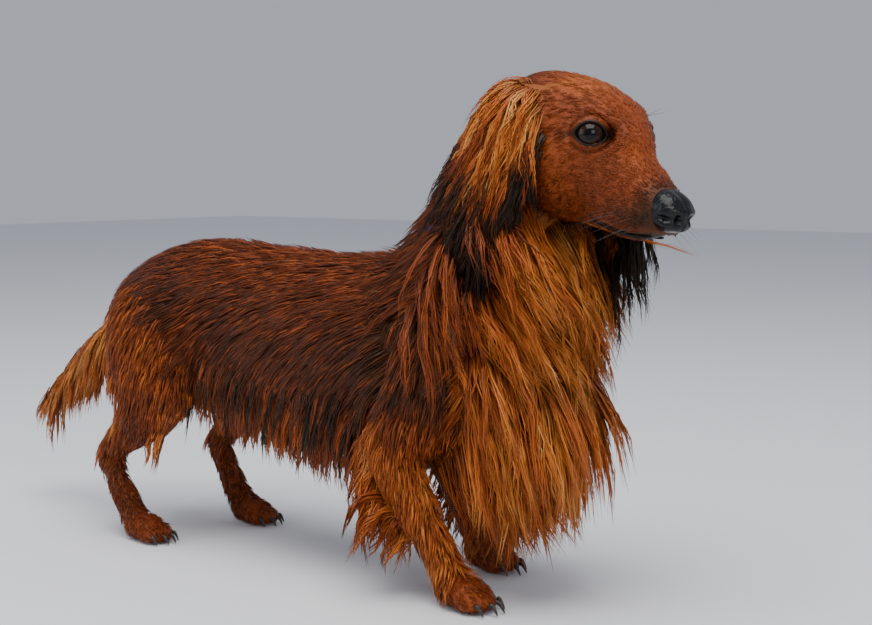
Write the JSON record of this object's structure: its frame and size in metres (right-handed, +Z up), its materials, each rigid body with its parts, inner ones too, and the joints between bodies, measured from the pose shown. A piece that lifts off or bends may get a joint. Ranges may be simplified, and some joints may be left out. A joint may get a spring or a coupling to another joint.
{
  "type": "dachshund",
  "caption": "Still life-size long-haired dachshund standing on four feet, head raised and turned to its right, with a plain collar round its neck.",
  "frame": {"origin": "on the ground, under the middle of the box round the whole dog", "axes": "+X forward along the trunk towards the breastbone, +Y to the dog's left, +Z up"},
  "size_m": [0.7168, 0.1912, 0.3769],
  "materials": {
    "coat": "long red-brown hair",
    "skin": "short dense fur over skin",
    "eye": "wet dark brown eye",
    "nose": "wet black nose leather",
    "claw": "dark horn",
    "collar": "blue webbing"
  },
  "bodies": {
    "root": {"torso": "coat", "neck": "coat", "head": "skin", "jaw": "skin", "nose": "nose", "eye_left": "eye", "eye_right": "eye", "ear_left": "coat", "ear_right": "coat", "collar": "collar", "foreleg_left": "coat", "foreleg_right": "coat", "forepaw_left": "skin", "forepaw_right": "skin", "hindleg_left": "coat", "hindleg_right": "coat", "hindpaw_left": "skin", "hindpaw_right": "skin", "tail": "coat"}
  },
  "joints": []
}
